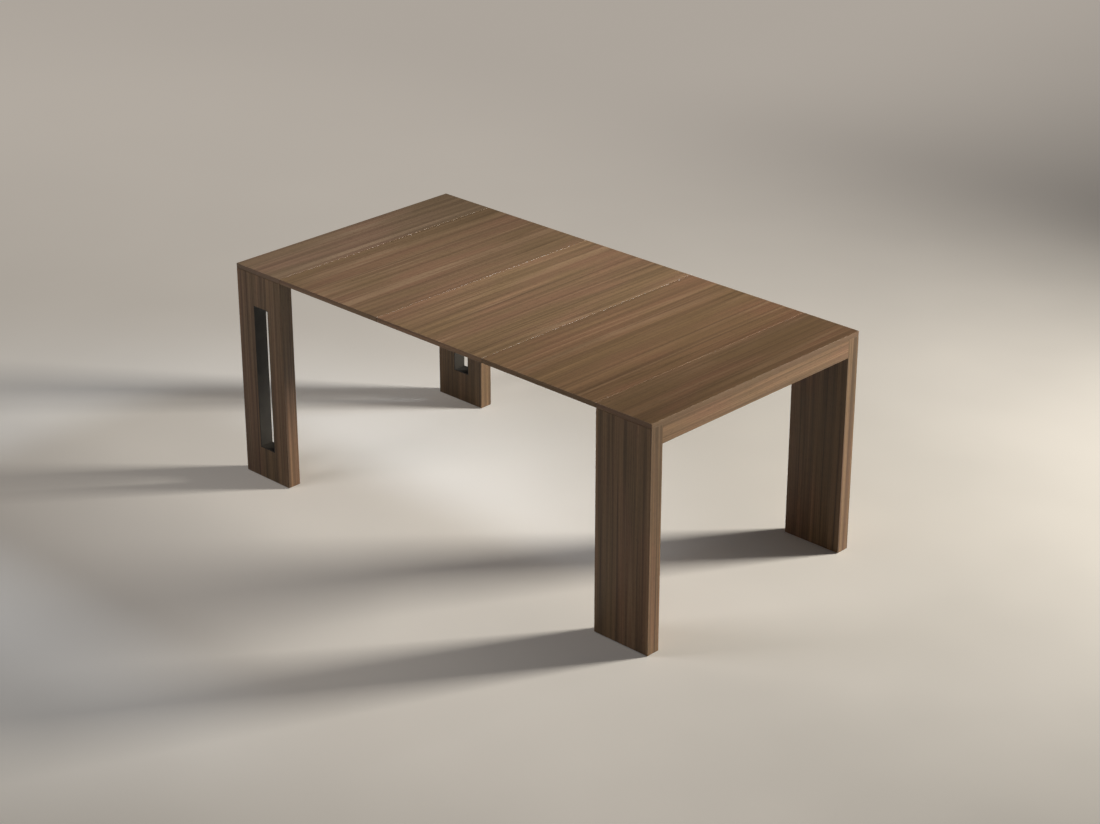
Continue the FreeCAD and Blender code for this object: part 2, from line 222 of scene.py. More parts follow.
@dataclass(frozen=True)
class WalnutVeneer:
    """Straight-grained walnut veneer under matt lacquer.

    The eye sees a soft brown that drifts a little towards olive and red, faint streaks, narrow pale
    lines and a few dark ones along the grain, open pores and a low satin sheen.
    Pores and fibres are drawn wider than real ones, so that they show at all.
    """

    drift: Marks = Marks(130 * MM, detail=2.0, stretch=4.0)
    drift_tones: Tones = ((0.36, "#7e674d"), (0.5, "#80674f"), (0.64, "#836650"))
    streak: Marks = Marks(20 * MM, detail=3.0, stretch=70.0)
    streak_share: float = 0.2
    fibre: Marks = Marks(3.4 * MM, detail=2.0, stretch=200.0)
    fibre_share: float = 0.1
    pale_lines: GrainLines = GrainLines(
        Marks(54 * MM, detail=1.0, stretch=90.0),
        reach=0.034, gone=0.25, full=0.65, share=0.6, tone="#a3896d",
    )
    dark_veins: GrainLines = GrainLines(
        Marks(60 * MM, detail=1.0, stretch=80.0),
        reach=0.014, gone=0.65, full=0.35, share=0.45, tone="#4e3c2c",
    )
    pore: Marks = Marks(0.9 * MM, detail=1.0, stretch=26.0)
    pore_start: float = 0.62
    pore_full: float = 0.74
    pore_share: float = 0.5
    pore_tone: str = "#3a2b1f"
    pore_depth: float = 0.06 * MM
    pore_relief: float = 0.35
    mark_roughness: float = 0.6
    wander: float = 9 * MM
    wander_length: float = 900 * MM
    wander_spread: float = 160 * MM
    wander_detail: float = 1.0
    seed_slant: float = 3.7
    banding_lean: float = 0.8
    dark_roughness: float = 0.44
    light_roughness: float = 0.37
    ior: float = 1.5

    def material(self, name: str, grain: Axis, sheet: Sheet) -> Material:
        """Make the veneer of one piece.

        Args:
            name: the material's name.
            grain: the axis along which the grain runs.
            sheet: the sheet that the piece is faced with.

        Returns:
            The material.
        """
        material, tree, shader = new_material(name)
        place = self.grain_place(tree, grain, sheet.seed)
        drift = self.layer(tree, place, self.drift)
        streak = self.layer(tree, place, self.streak)
        fibre = self.layer(tree, place, self.fibre)
        veneer = add(tree, "ShaderNodeValToRGB", {"stops": self.drift_tones}, {
            "Fac": drift,
        }).outputs["Color"]
        for layer, share in ((streak, self.streak_share), (fibre, self.fibre_share)):
            shade = add(tree, "ShaderNodeMapRange", {"clamp": False}, {
                "Value": layer, "From Min": NOISE_LOW, "From Max": NOISE_HIGH,
                "To Min": 1.0 - share * sheet.figure, "To Max": 1.0 + share * sheet.figure,
            })
            veneer = add(tree, "ShaderNodeMix", {"data_type": "RGBA", "blend_type": "MULTIPLY"}, {
                "Factor": 1.0, MIX_COLOUR_A: veneer, MIX_COLOUR_B: shade.outputs["Result"],
            }).outputs[MIX_COLOUR_RESULT]
        pores = add(tree, "ShaderNodeMapRange", {}, {
            "Value": self.layer(tree, place, self.pore), "From Min": self.pore_start,
            "From Max": self.pore_full, "To Max": self.pore_share,
        }).outputs["Result"]
        covers = []
        for lines in (self.pale_lines, self.dark_veins):
            covers.append((self.cover(tree, place, drift, lines), lines.tone))
        for cover, tone in (*covers, (pores, self.pore_tone)):
            veneer = add(tree, "ShaderNodeMix", {"data_type": "RGBA"}, {
                "Factor": cover, MIX_COLOUR_A: veneer, MIX_COLOUR_B: colour(tone),
            }).outputs[MIX_COLOUR_RESULT]
        toned = add(tree, "ShaderNodeHueSaturation", {}, {
            "Color": veneer, "Saturation": sheet.warmth, "Value": sheet.tone,
        })
        gloss = add(tree, "ShaderNodeMapRange", {}, {
            "Value": streak, "From Min": NOISE_LOW, "From Max": NOISE_HIGH,
            "To Min": self.dark_roughness, "To Max": self.light_roughness,
        })
        relief = add(tree, "ShaderNodeBump", {"invert": True}, {
            "Strength": self.pore_relief, "Distance": self.pore_depth, "Height": pores,
        })
        tree.links.new(toned.outputs["Color"], shader.inputs["Base Color"])
        tree.links.new(gloss.outputs["Result"], shader.inputs["Roughness"])
        tree.links.new(relief.outputs["Normal"], shader.inputs["Normal"])
        shader.inputs["IOR"].default_value = self.ior
        return material

    def cover(self, tree: NodeTree, place: NodeSocket, drift: NodeSocket, lines: GrainLines) -> NodeSocket:
        """Draw how far thin lines cover the veneer.

        Args:
            tree: the material's tree.
            place: the place across and along the grain.
            drift: the layer that makes the lines stronger and weaker.
            lines: the lines.

        Returns:
            The socket that carries the cover.
        """
        marks = self.layer(tree, place, lines.marks)
        off_middle = add(tree, "ShaderNodeMath", {"operation": "SUBTRACT"}, {0: marks, 1: NOISE_MIDDLE})
        away = add(tree, "ShaderNodeMath", {"operation": "ABSOLUTE"}, {0: off_middle.outputs["Value"]})
        line = add(tree, "ShaderNodeMapRange", {"interpolation_type": "SMOOTHSTEP"}, {
            "Value": away.outputs["Value"], "From Min": lines.reach, "From Max": 0.0,
        })
        run = add(tree, "ShaderNodeMapRange", {}, {
            "Value": drift, "From Min": lines.gone, "From Max": lines.full, "To Max": lines.share,
        })
        cover = add(tree, "ShaderNodeMath", {"operation": "MULTIPLY"}, {
            0: line.outputs["Result"], 1: run.outputs["Result"],
        })
        return cover.outputs["Value"]

    def grain_place(self, tree: NodeTree, grain: Axis, seed: float) -> NodeSocket:
        """Give the place across and along the grain, with the streaks' slow wander.

        The streaks run on around the edges along the grain. Faces cut across the grain carry a
        banding whose grain runs along the edge.

        Args:
            tree: the material's tree.
            grain: the axis along which the grain runs.
            seed: moves the piece to another place in the pattern.

        Returns:
            The socket that carries the place.
        """
        coords = add(tree, "ShaderNodeTexCoord")
        parts = add(tree, "ShaderNodeSeparateXYZ", {}, {"Vector": coords.outputs["Object"]})
        across, depth = [axis.value for axis in Axis if axis is not grain]
        faces = []
        for width, turn, length in ((across, depth, grain.value), (depth, grain.value, across)):
            around = add(tree, "ShaderNodeMath", {"operation": "ADD"}, {
                0: parts.outputs[width], 1: parts.outputs[turn],
            })
            faces.append(add(tree, "ShaderNodeCombineXYZ", {}, {
                0: around.outputs["Value"], 1: parts.outputs[length],
            }))
        lean = add(tree, "ShaderNodeVectorMath", {"operation": "DOT_PRODUCT"}, {
            0: coords.outputs["Normal"], 1: grain.unit,
        })
        steep = add(tree, "ShaderNodeMath", {"operation": "ABSOLUTE"}, {0: lean.outputs["Value"]})
        cut = add(tree, "ShaderNodeMath", {"operation": "GREATER_THAN"}, {
            0: steep.outputs["Value"], 1: self.banding_lean,
        })
        place = add(tree, "ShaderNodeMix", {"data_type": "VECTOR"}, {
            "Factor": cut.outputs["Value"], MIX_VECTOR_A: faces[0].outputs["Vector"],
            MIX_VECTOR_B: faces[1].outputs["Vector"],
        })
        moved = add(tree, "ShaderNodeVectorMath", {"operation": "ADD"}, {
            0: place.outputs[MIX_VECTOR_RESULT], 1: (seed, seed * self.seed_slant, 0.0),
        })
        slow = add(tree, "ShaderNodeMapping", {}, {
            "Vector": moved.outputs["Vector"],
            "Scale": (1 / self.wander_spread, 1 / self.wander_length, 1.0),
        })
        drift = add(tree, "ShaderNodeTexNoise", {"noise_dimensions": "2D"}, {
            "Vector": slow.outputs["Vector"], "Scale": 1.0, "Detail": self.wander_detail,
        })
        sway = add(tree, "ShaderNodeVectorMath", {"operation": "MULTIPLY_ADD"}, {
            0: drift.outputs["Color"], 1: (self.wander, 0.0, 0.0), 2: moved.outputs["Vector"],
        })
        return sway.outputs["Vector"]

    def layer(self, tree: NodeTree, place: NodeSocket, marks: Marks) -> NodeSocket:
        """Draw one layer of marks, drawn out along the grain.

        Args:
            tree: the material's tree.
            place: the place across and along the grain.
            marks: the marks.

        Returns:
            The socket that carries the layer.
        """
        drawn = add(tree, "ShaderNodeMapping", {}, {
            "Vector": place, "Scale": (1.0, 1.0 / marks.stretch, 1.0),
        })
        noise = add(tree, "ShaderNodeTexNoise", {"noise_dimensions": "2D"}, {
            "Vector": drawn.outputs["Vector"], "Scale": 1.0 / marks.width, "Detail": marks.detail,
            "Roughness": self.mark_roughness,
        })
        return noise.outputs["Fac"]


@dataclass(frozen=True)
class FactoryFinish:
    """A finish in two close tones, whose marks also change its gloss and give it a fine relief.

    Tones are colours at two values of the tone marks. Roughness is that at low and at high gloss marks.
    """

    tones: Tones
    tone_marks: Marks
    roughness: tuple[float, float]
    gloss_marks: Marks
    relief_marks: Marks
    relief_depth: float
    relief_strength: float
    metallic: float = 0.0
    ior: float | None = None

    def material(self, name: str) -> Material:
        """Make the finish.

        Args:
            name: the material's name.

        Returns:
            The material.
        """
        material, tree, shader = new_material(name)
        tint = add(tree, "ShaderNodeValToRGB", {"stops": self.tones}, {"Fac": self.tone_marks.layer(tree)})
        gloss = add(tree, "ShaderNodeMapRange", {}, {
            "Value": self.gloss_marks.layer(tree), "From Min": NOISE_LOW, "From Max": NOISE_HIGH,
            "To Min": self.roughness[0], "To Max": self.roughness[1],
        })
        relief = add(tree, "ShaderNodeBump", {}, {
            "Strength": self.relief_strength, "Distance": self.relief_depth,
            "Height": self.relief_marks.layer(tree),
        })
        tree.links.new(tint.outputs["Color"], shader.inputs["Base Color"])
        tree.links.new(gloss.outputs["Result"], shader.inputs["Roughness"])
        tree.links.new(relief.outputs["Normal"], shader.inputs["Normal"])
        shader.inputs["Metallic"].default_value = self.metallic
        if self.ior is not None:
            shader.inputs["IOR"].default_value = self.ior
        return material


@dataclass(frozen=True)
class AnodisedAluminium(FactoryFinish):
    """Extruded aluminium, natural anodised: pale grey metal with fine draw lines along its length.

    The lines are drawn wider than real ones, which would be too fine to show.
    """

    tones: Tones = ((0.35, "#a8abad"), (0.65, "#c3c5c7"))
    tone_marks: Marks = Marks(0.7 * MM, detail=2.0, stretch=400.0)
    roughness: tuple[float, float] = (0.42, 0.28)
    gloss_marks: Marks = tone_marks
    relief_marks: Marks = tone_marks
    relief_depth: float = 0.05 * MM
    relief_strength: float = 0.12
    metallic: float = 1.0


@dataclass(frozen=True)
class ZincPlatedSteel(FactoryFinish):
    """Pressed steel with bright zinc plating: grey metal, faintly blue and clouded, with a fine grit.

    The grit is drawn coarser than real grit, which would be too fine to show.
    """

    tones: Tones = ((0.38, "#9b9d9b"), (0.62, "#aab1b6"))
    tone_marks: Marks = Marks(7 * MM, detail=3.0)
    roughness: tuple[float, float] = (0.44, 0.3)
    gloss_marks: Marks = tone_marks
    relief_marks: Marks = Marks(0.6 * MM, detail=1.0)
    relief_depth: float = 0.03 * MM
    relief_strength: float = 0.1
    metallic: float = 1.0


@dataclass(frozen=True)
class CharcoalPowderCoat(FactoryFinish):
    """Folded sheet metal, powder coated charcoal: dark, faintly pebbled and nearly matt."""

    tones: Tones = ((0.35, "#262524"), (0.65, "#34322f"))
    tone_marks: Marks = Marks(60 * MM, detail=2.0)
    roughness: tuple[float, float] = (0.5, 0.62)
    gloss_marks: Marks = Marks(1.6 * MM, detail=1.0)
    relief_marks: Marks = gloss_marks
    relief_depth: float = 0.05 * MM
    relief_strength: float = 0.3
    ior: float = 1.5


@dataclass(frozen=True)
class BlackNylon(FactoryFinish):
    """Moulded black nylon: near black, waxy and finely grained from its mould.

    The grain is drawn coarser than real grain, which would be too fine to show.
    """

    tones: Tones = ((0.35, "#161617"), (0.65, "#222224"))
    tone_marks: Marks = Marks(18 * MM, detail=1.0)
    roughness: tuple[float, float] = (0.42, 0.56)
    gloss_marks: Marks = Marks(0.8 * MM, detail=2.0)
    relief_marks: Marks = gloss_marks
    relief_depth: float = 0.03 * MM
    relief_strength: float = 0.2
    ior: float = 1.53


@dataclass(frozen=True)
class PaintedLightRamp:
    """Painted light: soft brightening of the floor along one way, from nothing at its start to its share at
    its end.
    """

    way: tuple[float, float, float]
    start: float
    end: float
    share: float


@dataclass(frozen=True)
class StudioPaint:
    """Pale matt paint of the studio floor, faintly clouded by the roller.

    It throws little light back at the table. The camera, and what mirrors the floor, see it pale,
    with painted light that glows brighter towards the left, the back and the front.
    """

    tones: Tones = ((0.35, "#f1f4f8"), (0.65, "#f7fafe"))
    tone_marks: Marks = Marks(700 * MM, detail=2.0)
    thrown: str = "#9b9a98"
    # Painted light: the colour and ramps of a glow that only the camera and mirrors see on the floor, at the
    # left, the back and the front.
    painted_light_tint: str = "#fff3e5"
    left_painted_light: PaintedLightRamp = PaintedLightRamp(way=(-1.0, 0.0, 0.0), start=-1.0, end=3.0, share=0.19)
    back_painted_light: PaintedLightRamp = PaintedLightRamp(way=(-0.7, 0.7, 0.0), start=0.3, end=5.0, share=0.2)
    front_painted_light: PaintedLightRamp = PaintedLightRamp(way=(0.0, -1.0, 0.0), start=0.4, end=1.3, share=0.1)
    roughness: float = 0.75

    def material(self, name: str) -> Material:
        """Make the finish.

        Args:
            name: the material's name.

        Returns:
            The material.
        """
        material, tree, shader = new_material(name)
        tint = add(tree, "ShaderNodeValToRGB", {"stops": self.tones}, {"Fac": self.tone_marks.layer(tree)})
        rays = add(tree, "ShaderNodeLightPath")
        mirrored = add(tree, "ShaderNodeMath", {"operation": "ADD"}, {
            0: rays.outputs["Is Camera Ray"], 1: rays.outputs["Is Glossy Ray"],
        })
        seen = add(tree, "ShaderNodeMath", {"operation": "ADD", "use_clamp": True}, {
            0: mirrored.outputs["Value"], 1: rays.outputs["Is Transmission Ray"],
        })
        paint = add(tree, "ShaderNodeMix", {"data_type": "RGBA"}, {
            "Factor": seen.outputs["Value"], MIX_COLOUR_A: colour(self.thrown),
            MIX_COLOUR_B: tint.outputs["Color"],
        })
        coords = add(tree, "ShaderNodeTexCoord")
        # Painted light: each ramp makes the floor glow more along its way, standing in for pools of light.
        painted_light_share = 0.0
        for lift in (self.left_painted_light, self.back_painted_light, self.front_painted_light):
            reach = add(tree, "ShaderNodeVectorMath", {"operation": "DOT_PRODUCT"}, {
                0: coords.outputs["Object"], 1: lift.way,
            })
            fade = add(tree, "ShaderNodeMapRange", {"interpolation_type": "SMOOTHSTEP"}, {
                "Value": reach.outputs["Value"], "From Min": lift.start, "From Max": lift.end,
                "To Max": lift.share,
            })
            painted_light_share = add(tree, "ShaderNodeMath", {"operation": "ADD"}, {
                0: painted_light_share, 1: fade.outputs["Result"],
            }).outputs["Value"]
        # Painted light: the glow shows only to the camera and in mirrors.
        painted_light_strength = add(tree, "ShaderNodeMath", {"operation": "MULTIPLY"}, {0: seen.outputs["Value"], 1: painted_light_share})
        tree.links.new(paint.outputs[MIX_COLOUR_RESULT], shader.inputs["Base Color"])
        tree.links.new(painted_light_strength.outputs["Value"], shader.inputs["Emission Strength"])
        shader.inputs["Emission Color"].default_value = colour(self.painted_light_tint)
        shader.inputs["Roughness"].default_value = self.roughness
        return material


# Fasteners


@dataclass(frozen=True)
class Seat:
    """Where a fastener sits: the underside of its head, the way it drives and how far."""

    place: Vector
    drive: Vector
    reach: float


def solids(node: Object) -> list[list[Vector]]:
    """Split a CAD node's mesh into its solids.

    Args:
        node: the CAD node.

    Returns:
        The points of each solid.
    """
    copy = bmesh.new()
    copy.from_mesh(node.data)
    bmesh.ops.remove_doubles(copy, verts=copy.verts, dist=SAME_POINT)
    groups = []
    left = set(copy.verts)
    while left:
        stack = [left.pop()]
        group = []
        while stack:
            vertex = stack.pop()
            group.append(vertex.co.copy())
            near = {edge.other_vert(vertex) for edge in vertex.link_edges} & left
            left -= near
            stack.extend(near)
        groups.append(group)
    copy.free()
    return sorted(groups, key=lambda points: tuple(round(c, PLACE_DIGITS) for c in min(points, key=tuple)))


@dataclass
class Fastener:
    """A repeated fastener, drawn once in a node tree and set on its seats."""

    name: str
    head_radius: float
    head_height: float
    recess_span: float
    recess_depth: float
    dome_share: float
    dome_power: float
    head_sides: int = 28
    head_rings: int = 5
    rim_share: float = 0.95
    smooth_angle: float = math.radians(40)

    def sizes(self, reach: float) -> dict[str, float]:
        """Give the named sizes that the tree takes.

        Args:
            reach: how far the fastener drives from its seat.

        Returns:
            Each size by its name.
        """
        return {
            "Reach": reach,
            "Head Radius": self.head_radius,
            "Head Height": self.head_height,
            "Recess Span": self.recess_span,
            "Recess Depth": self.recess_depth,
            "Dome Share": self.dome_share,
            "Dome Power": self.dome_power,
        }

    def recess(self, tree: NodeTree, given: Node) -> list[NodeSocket]:
        """Draw what is cut from the head for the driver, about the head's top."""
        raise NotImplementedError

    def stem(self, tree: NodeTree, given: Node) -> list[NodeSocket]:
        """Draw what is under the head."""
        raise NotImplementedError

    def raised(self, tree: NodeTree, part: NodeSocket, height: NodeSocket, share: float) -> NodeSocket:
        """Move a part of the fastener along its axis.

        Args:
            tree: the fastener's tree.
            part: the part.
            height: a size of the fastener.
            share: how much of that size the part goes up.

        Returns:
            The socket that carries the moved part.
        """
        rise = add(tree, "ShaderNodeMath", {"operation": "MULTIPLY"}, {0: height, 1: share})
        way = add(tree, "ShaderNodeCombineXYZ", {}, {"Z": rise.outputs["Value"]})
        moved = add(tree, "GeometryNodeTransform", {}, {
            "Geometry": part, "Translation": way.outputs["Vector"],
        })
        return moved.outputs["Geometry"]

    def head(self, tree: NodeTree, given: Node) -> NodeSocket:
        """Draw the domed head with its recess.

        Args:
            tree: the fastener's tree.
            given: the tree's inputs.

        Returns:
            The socket that carries the head.
        """
        size = given.outputs
        blank = add(tree, "GeometryNodeMeshCylinder", {"fill_type": "TRIANGLE_FAN"}, {
            "Vertices": self.head_sides, "Side Segments": 1, "Fill Segments": self.head_rings,
            "Radius": size["Head Radius"], "Depth": size["Head Height"],
        })
        place = add(tree, "GeometryNodeInputPosition")
        parts = add(tree, "ShaderNodeSeparateXYZ", {}, {"Vector": place.outputs["Position"]})
        flat = add(tree, "ShaderNodeCombineXYZ", {}, {"X": parts.outputs["X"], "Y": parts.outputs["Y"]})
        radius = add(tree, "ShaderNodeVectorMath", {"operation": "LENGTH"}, {0: flat.outputs["Vector"]})
        share = add(tree, "ShaderNodeMath", {"operation": "DIVIDE"}, {
            0: radius.outputs["Value"], 1: size["Head Radius"],
        })
        fall = add(tree, "ShaderNodeMath", {"operation": "POWER"}, {
            0: share.outputs["Value"], 1: size["Dome Power"],
        })
        most = add(tree, "ShaderNodeMath", {"operation": "MULTIPLY"}, {
            0: size["Head Height"], 1: size["Dome Share"],
        })
        drop = add(tree, "ShaderNodeMath", {"operation": "MULTIPLY"}, {
            0: fall.outputs["Value"], 1: most.outputs["Value"],
        })
        down = add(tree, "ShaderNodeMath", {"operation": "MULTIPLY"}, {0: drop.outputs["Value"], 1: -1.0})
        lower = add(tree, "ShaderNodeCombineXYZ", {}, {"Z": down.outputs["Value"]})
        upper = add(tree, "FunctionNodeCompare", {"data_type": "FLOAT", "operation": "GREATER_THAN"}, {
            0: parts.outputs["Z"], 1: 0.0,
        })
        domed = add(tree, "GeometryNodeSetPosition", {}, {
            "Geometry": blank.outputs["Mesh"], "Selection": upper.outputs["Result"],
            "Offset": lower.outputs["Vector"],
        })
        cutters = []
        for cutter in self.recess(tree, given):
            cutters.append(self.raised(tree, cutter, size["Head Height"], 0.5))
        cut = add(tree, "GeometryNodeMeshBoolean", {"operation": "DIFFERENCE"}, {
            "Mesh 1": domed.outputs["Geometry"], "Mesh 2": cutters,
        })
        return self.raised(tree, cut.outputs["Mesh"], size["Head Height"], 0.5)

    def tree(self, reach: float) -> NodeTree:
        """Build the node tree that sets the fastener on points.

        Args:
            reach: how far the fastener drives from its seat.

        Returns:
            The tree.
        """
        tree = bpy.data.node_groups.new(self.name, "GeometryNodeTree")
        tree.interface.new_socket("Seats", in_out="INPUT", socket_type="NodeSocketGeometry")
        for size in self.sizes(reach):
            tree.interface.new_socket(size, in_out="INPUT", socket_type="NodeSocketFloat")
        tree.interface.new_socket("Finish", in_out="INPUT", socket_type="NodeSocketMaterial")
        tree.interface.new_socket("Fasteners", in_out="OUTPUT", socket_type="NodeSocketGeometry")
        given = add(tree, "NodeGroupInput")
        whole = add(tree, "GeometryNodeJoinGeometry", {}, {
            "Geometry": [self.head(tree, given), *self.stem(tree, given)],
        })
        drive = add(tree, "GeometryNodeInputNamedAttribute", {"data_type": "FLOAT_VECTOR"}, {
            "Name": "drive",
        })
        away = add(tree, "ShaderNodeVectorMath", {"operation": "SCALE"}, {
            0: drive.outputs["Attribute"], "Scale": -1.0,
        })
        turn = add(tree, "FunctionNodeAlignRotationToVector", {"axis": "Z"}, {
            "Vector": away.outputs["Vector"],
        })
        placed = add(tree, "GeometryNodeInstanceOnPoints", {}, {
            "Points": given.outputs["Seats"], "Instance": whole.outputs["Geometry"],
            "Rotation": turn.outputs["Rotation"],
        })
        real = add(tree, "GeometryNodeRealizeInstances", {}, {"Geometry": placed.outputs["Instances"]})
        dressed = add(tree, "GeometryNodeSetMaterial", {}, {
            "Geometry": real.outputs["Geometry"], "Material": given.outputs["Finish"],
        })
        add(tree, "NodeGroupOutput", {}, {"Fasteners": dressed.outputs["Geometry"]})
        return tree

    def seat_of(self, points: list[Vector]) -> Seat:
        """Find how the fastener sits from the points of its solid.

        Args:
            points: the solid's points.

        Returns:
            Its seat.
        """
        low = Vector([min(p[i] for p in points) for i in range(3)])
        high = Vector([max(p[i] for p in points) for i in range(3)])
        middle = (low + high) / 2
        unit = max(Axis, key=lambda axis: (high - low)[axis.value]).unit
        rim = self.rim_share * self.head_radius
        wide = [p for p in points if ((p - middle) - unit * (p - middle).dot(unit)).length > rim]
        levels = [p.dot(unit) for p in wide]
        head_side = 1.0 if sum(levels) / len(levels) > middle.dot(unit) else -1.0
        level = min(levels) if head_side > 0 else max(levels)
        tip = low.dot(unit) if head_side > 0 else high.dot(unit)
        place = middle + unit * (level - middle.dot(unit))
        return Seat(place, unit * -head_side, abs(level - tip))

    def set_on(self, seats: list[Seat], finish: Material) -> Mesh:
        """Set the fastener on seats of one reach.

        Args:
            seats: the seats.
            finish: the material of the fasteners.

        Returns:
            A plain mesh of all of them.
        """
        points = bpy.data.meshes.new("seats")
        points.from_pydata([seat.place for seat in seats], [], [])
        drives = points.attributes.new("drive", "FLOAT_VECTOR", "POINT")
        for entry, seat in zip(drives.data, seats):
            entry.vector = seat.drive
        holder = bpy.data.objects.new("seats", points)
        bpy.context.scene.collection.objects.link(holder)
        tree = self.tree(seats[0].reach)
        modifier = holder.modifiers.new(self.name, "NODES")
        modifier.node_group = tree
        inputs = {item.name: item.identifier for item in tree.interface.items_tree if item.in_out == "INPUT"}
        for size, value in self.sizes(seats[0].reach).items():
            modifier[inputs[size]] = value
        modifier[inputs["Finish"]] = finish
        mesh = bpy.data.meshes.new_from_object(holder.evaluated_get(bpy.context.evaluated_depsgraph_get()))
        bpy.data.objects.remove(holder)
        bpy.data.meshes.remove(points)
        bpy.data.node_groups.remove(tree)
        return mesh

    def piece(self, node: Object, body: str, slot: str, finish: Material) -> Object:
        """Stand detailed fasteners in for a CAD node of plain ones.

        Args:
            node: the CAD node.
            body: the body that they ride on.
            slot: the record's material slot; not used.
            finish: their material.

        Returns:
            The new piece.
        """
        seats = [self.seat_of(points) for points in solids(node)]
        joined = bmesh.new()
        for reach in sorted({round(seat.reach, REACH_DIGITS) for seat in seats}):
            alike = [seat for seat in seats if round(seat.reach, REACH_DIGITS) == reach]
            mesh = self.set_on(alike, finish)
            joined.from_mesh(mesh)
            bpy.data.meshes.remove(mesh)
        mesh = bpy.data.meshes.new(node.name + "_detailed")
        joined.to_mesh(mesh)
        joined.free()
        mesh.shade_smooth()
        mesh.set_sharp_from_angle(angle=self.smooth_angle)
        mesh.materials.clear()
        mesh.materials.append(finish)
        piece = bpy.data.objects.new(node.name + "_detailed", mesh)
        bpy.context.scene.collection.objects.link(piece)
        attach(piece, body)
        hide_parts(node.name)
        LOG.info("%s: %d fasteners, %d faces", piece.name, len(seats), len(mesh.polygons))
        return piece


@dataclass
class PanHeadScrew(Fastener):
    """Pan-head screw with a cross recess and a rolled thread."""

    name: str = "pan_head_screw"
    head_radius: float = 4.0 * MM
    head_height: float = 2.4 * MM
    recess_span: float = 4.6 * MM
    recess_depth: float = 1.5 * MM
    dome_share: float = 0.42
    dome_power: float = 4.0
    recess_width: float = 1.0 * MM
    shank_radius: float = 2.0 * MM
    shank_sides: int = 16
    tip_length: float = 2.0 * MM
    tip_radius: float = 0.05 * MM
    thread_pitch: float = 1.6 * MM
    thread_depth: float = 0.45 * MM
    thread_sides: int = 4
    turn_points: int = 14
    ridge_share: float = 0.9

    def sizes(self, reach: float) -> dict[str, float]:
        """Give the named sizes that the tree takes, with those of the core, thread and cross.

        Args:
            reach: how far the screw drives from its seat.

        Returns:
            Each size by its name.
        """
        return {
            **super().sizes(reach),
            "Core Radius": self.shank_radius - self.thread_depth,
            "Core Length": reach - self.tip_length,
            "Tip Length": self.tip_length,
            "Thread Pitch": self.thread_pitch,
            "Ridge Radius": self.thread_depth * self.ridge_share,
            "Recess Width": self.recess_width,
        }

    def recess(self, tree: NodeTree, given: Node) -> list[NodeSocket]:
        """Draw the two bars of the cross that is cut from the head, about the head's top.

        Args:
            tree: the fastener's tree.
            given: the tree's inputs.

        Returns:
            The sockets that carry the bars.
        """
        size = given.outputs
        tall = add(tree, "ShaderNodeMath", {"operation": "MULTIPLY"}, {0: size["Recess Depth"], 1: 2.0})
        bars = []
        for along, across in (("Recess Span", "Recess Width"), ("Recess Width", "Recess Span")):
            extent = add(tree, "ShaderNodeCombineXYZ", {}, {
                "X": size[along], "Y": size[across], "Z": tall.outputs["Value"],
            })
            bar = add(tree, "GeometryNodeMeshCube", {}, {"Size": extent.outputs["Vector"]})
            bars.append(bar.outputs["Mesh"])
        return bars

    def stem(self, tree: NodeTree, given: Node) -> list[NodeSocket]:
        """Draw the core, its point and its thread.

        Args:
            tree: the fastener's tree.
            given: the tree's inputs.

        Returns:
            The sockets that carry the three.
        """
        size = given.outputs
        core = add(tree, "GeometryNodeMeshCylinder", {}, {
            "Vertices": self.shank_sides, "Radius": size["Core Radius"], "Depth": size["Core Length"],
        })
        point = add(tree, "GeometryNodeMeshCone", {}, {
            "Vertices": self.shank_sides, "Radius Top": size["Core Radius"],
            "Radius Bottom": self.tip_radius, "Depth": size["Tip Length"],
        })
        return [
            self.raised(tree, core.outputs["Mesh"], size["Core Length"], -0.5),
            self.raised(tree, point.outputs["Mesh"], size["Reach"], -1.0),
            self.raised(tree, self.thread(tree, given), size["Core Length"], -1.0),
        ]

    def thread(self, tree: NodeTree, given: Node) -> NodeSocket:
        """Draw the thread as a ridge that winds round the core.

        Args:
            tree: the fastener's tree.
            given: the tree's inputs.

        Returns:
            The socket that carries the thread.
        """
        size = given.outputs
        run = add(tree, "ShaderNodeMath", {"operation": "SUBTRACT"}, {
            0: size["Core Length"], 1: size["Thread Pitch"],
        })
        turns = add(tree, "ShaderNodeMath", {"operation": "DIVIDE"}, {
            0: run.outputs["Value"], 1: size["Thread Pitch"],
        })
        winding = add(tree, "GeometryNodeCurveSpiral", {}, {
            "Resolution": self.turn_points, "Rotations": turns.outputs["Value"],
            "Start Radius": size["Core Radius"], "End Radius": size["Core Radius"],
            "Height": run.outputs["Value"],
        })
        section = add(tree, "GeometryNodeCurvePrimitiveCircle", {"mode": "RADIUS"}, {
            "Resolution": self.thread_sides, "Radius": size["Ridge Radius"],
        })
        ridge = add(tree, "GeometryNodeCurveToMesh", {}, {
            "Curve": winding.outputs["Curve"], "Profile Curve": section.outputs["Curve"], "Fill Caps": True,
        })
        return ridge.outputs["Mesh"]


